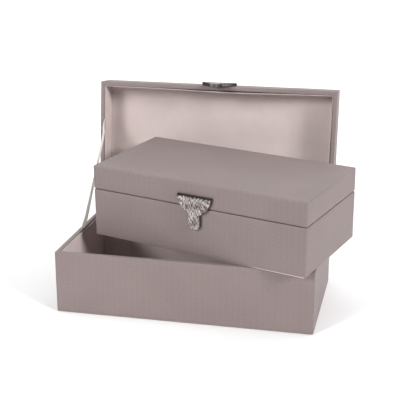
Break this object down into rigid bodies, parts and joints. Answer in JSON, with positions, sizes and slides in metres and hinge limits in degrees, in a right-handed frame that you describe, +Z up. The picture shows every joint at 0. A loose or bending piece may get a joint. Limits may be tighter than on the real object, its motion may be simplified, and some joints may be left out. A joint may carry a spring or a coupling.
{
  "type": "nesting jewellery boxes",
  "caption": "Nesting jewellery boxes in taupe leatherette: the larger open on a ribbon stay, the smaller closed and askew on its rim, each lid with a fan-shaped metal clasp.",
  "frame": {"origin": "centre of the larger box's underside, on the surface it stands on", "axes": "+X to the larger box's right seen from its front, -Y towards its front, +Z up"},
  "size_m": [0.3308, 0.2378, 0.2452],
  "materials": {
    "leatherette": "fine embossed grain, satin",
    "suedette": "short nap, matt",
    "greyboard": "raw board",
    "felt": "matt",
    "clasp_metal": "antique silver, ridged",
    "hardware_steel": "plated, satin",
    "magnet": "plated",
    "ribbon": "satin ribbon"
  },
  "bodies": {
    "outer_base": {"outer_base_front_board": "greyboard", "outer_base_back_board": "greyboard", "outer_base_left_board": "greyboard", "outer_base_right_board": "greyboard", "outer_base_floor_board": "greyboard", "outer_base_cover": "leatherette", "outer_base_front_liner": "suedette", "outer_base_back_liner": "suedette", "outer_base_side_liners": "suedette", "outer_base_floor_liner": "suedette", "outer_base_pad": "felt", "outer_base_magnet": "magnet", "outer_base_hinge_leaves": "hardware_steel", "outer_base_hinge_screws": "hardware_steel", "outer_hinge_pins": "hardware_steel", "ribbon_stay": "ribbon"},
    "outer_lid": {"outer_lid_front_board": "greyboard", "outer_lid_back_board": "greyboard", "outer_lid_left_board": "greyboard", "outer_lid_right_board": "greyboard", "outer_lid_top_board": "greyboard", "outer_lid_cover": "leatherette", "outer_lid_front_liner": "suedette", "outer_lid_back_liner": "suedette", "outer_lid_side_liners": "suedette", "outer_lid_panel_liner": "suedette", "outer_lid_clasp": "clasp_metal", "outer_lid_clasp_screws": "hardware_steel", "outer_lid_hinge_leaves": "hardware_steel", "outer_lid_hinge_screws": "hardware_steel"},
    "inner_base": {"inner_base_front_board": "greyboard", "inner_base_back_board": "greyboard", "inner_base_left_board": "greyboard", "inner_base_right_board": "greyboard", "inner_base_floor_board": "greyboard", "inner_base_cover": "leatherette", "inner_base_front_liner": "suedette", "inner_base_back_liner": "suedette", "inner_base_side_liners": "suedette", "inner_base_floor_liner": "suedette", "inner_base_pad": "felt", "inner_base_magnet": "magnet", "inner_base_hinge_leaves": "hardware_steel", "inner_base_hinge_screws": "hardware_steel", "inner_hinge_pins": "hardware_steel"},
    "inner_lid": {"inner_lid_front_board": "greyboard", "inner_lid_back_board": "greyboard", "inner_lid_left_board": "greyboard", "inner_lid_right_board": "greyboard", "inner_lid_top_board": "greyboard", "inner_lid_cover": "leatherette", "inner_lid_front_liner": "suedette", "inner_lid_back_liner": "suedette", "inner_lid_side_liners": "suedette", "inner_lid_panel_liner": "suedette", "inner_lid_clasp": "clasp_metal", "inner_lid_clasp_screws": "hardware_steel", "inner_lid_hinge_leaves": "hardware_steel", "inner_lid_hinge_screws": "hardware_steel"}
  },
  "joints": [
    {"name": "inner_box_carry", "type": "slide", "parent": "outer_base", "child": "inner_base", "axis": [0, -0.9986, 0.0523], "range_m": [0, 0.34]},
    {"name": "outer_lid_hinge", "type": "hinge", "parent": "outer_base", "child": "outer_lid", "pos_m": [0, 0.08225, 0.0745], "axis": [-1, 0, 0], "range_deg": [-97.3, 0], "deforming": ["ribbon_stay"]},
    {"name": "inner_lid_hinge", "type": "hinge", "parent": "inner_base", "child": "inner_lid", "pos_m": [0.0505, 0.06806, 0.13857], "axis": [-0.9573, 0.2888, 0.0114], "range_deg": [0, 100]}
  ],
  "couplings": [
    {"joint": "outer_lid_hinge", "follows": "inner_box_carry", "rad_per_m": -4.9945},
    {"joint": "inner_lid_hinge", "follows": "inner_box_carry", "rad_per_m": 5.1331}
  ]
}
